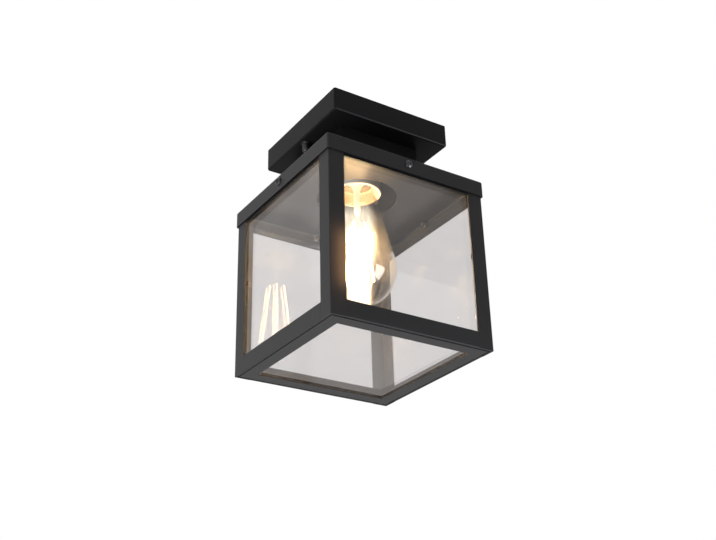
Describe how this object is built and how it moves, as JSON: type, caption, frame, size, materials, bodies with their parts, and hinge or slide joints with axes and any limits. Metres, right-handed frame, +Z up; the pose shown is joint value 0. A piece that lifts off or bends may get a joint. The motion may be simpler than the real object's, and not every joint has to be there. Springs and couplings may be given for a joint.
{
  "type": "porch ceiling lantern",
  "caption": "Square ceiling lantern: black folded steel roof and canopy over a clear glazed angle-iron cage, with a teardrop lamp in a white lampholder.",
  "frame": {"origin": "centre of the ceiling bracket's two slots, on the ceiling plane, level with the canopy's open top", "axes": "+Z up into the ceiling; the lantern hangs along -Z; X along the ceiling bracket; the front faces -Y"},
  "size_m": [0.158, 0.158, 0.2135],
  "materials": {
    "black_steel": "satin black powder coat",
    "screw_black": "black oxide, half gloss",
    "zinc_steel": "bright zinc plate",
    "rivet_aluminium": "plain",
    "brass": "bright",
    "terminal_plastic": "natural moulded",
    "brown_insulation": "smooth",
    "blue_insulation": "smooth",
    "earth_insulation": "smooth, green with a yellow stripe",
    "white_porcelain": "gloss glaze",
    "clear_glass": "clear, polished",
    "lamp_glass": "clear with a faint warm tint",
    "lamp_nickel": "nickel plate",
    "lamp_black_glass": "gloss",
    "solder": "dull",
    "filament": "glowing"
  },
  "bodies": {
    "lantern_top": {"ceiling_bracket": "zinc_steel", "bracket_studs": "zinc_steel", "stud_lock_nuts": "zinc_steel", "canopy": "black_steel", "canopy_cap_nuts": "black_steel", "holder_bridge": "zinc_steel", "bridge_rivets": "rivet_aluminium", "terminal_block": "terminal_plastic", "terminal_tubes": "brass", "terminal_screws": "zinc_steel", "terminal_block_screw": "zinc_steel", "earth_screw": "zinc_steel", "earth_lug": "brass", "live_lead": "brown_insulation", "neutral_lead": "blue_insulation", "earth_lead": "earth_insulation", "neck_box": "black_steel", "roof_cap": "black_steel", "roof_screws": "screw_black", "roof_screw_nuts": "screw_black", "lampholder_body": "white_porcelain", "lampholder_core": "white_porcelain", "lampholder_shell": "brass", "lampholder_contact": "brass", "lampholder_nipple": "zinc_steel", "nipple_nut": "zinc_steel"},
    "glass_cage": {"glass_clips": "black_steel", "bottom_glass": "clear_glass", "corner_post_front_left": "black_steel", "corner_post_front_right": "black_steel", "corner_post_back_left": "black_steel", "corner_post_back_right": "black_steel", "bottom_rail_front": "black_steel", "top_rail_front": "black_steel", "side_glass_front": "clear_glass", "bottom_rail_back": "black_steel", "top_rail_back": "black_steel", "side_glass_back": "clear_glass", "bottom_rail_left": "black_steel", "top_rail_left": "black_steel", "side_glass_left": "clear_glass", "bottom_rail_right": "black_steel", "top_rail_right": "black_steel", "side_glass_right": "clear_glass"},
    "lamp_tip": {"lamp_contact": "solder"},
    "lamp": {"lamp_insulator": "lamp_black_glass", "lamp_cap": "lamp_nickel", "lamp_bulb": "lamp_glass", "lamp_stem": "lamp_glass", "lamp_filaments": "filament", "lamp_wires": "zinc_steel"}
  },
  "joints": [
    {"name": "cage_drop", "type": "slide", "parent": "lantern_top", "child": "glass_cage", "axis": [0, 0, 1], "range_m": [-0.11, 0]},
    {"name": "lamp_travel", "type": "slide", "parent": "lantern_top", "child": "lamp_tip", "axis": [0, 0, 1], "range_m": [-0.0255, 0]},
    {"name": "lamp_turn", "type": "hinge", "parent": "lamp_tip", "child": "lamp", "pos_m": [0, 0, -0.047], "axis": [0, 0, 1], "range_deg": [-2520, 0]}
  ],
  "couplings": [
    {"joint": "lamp_travel", "follows": "lamp_turn", "m_per_rad": 0.0005776}
  ]
}
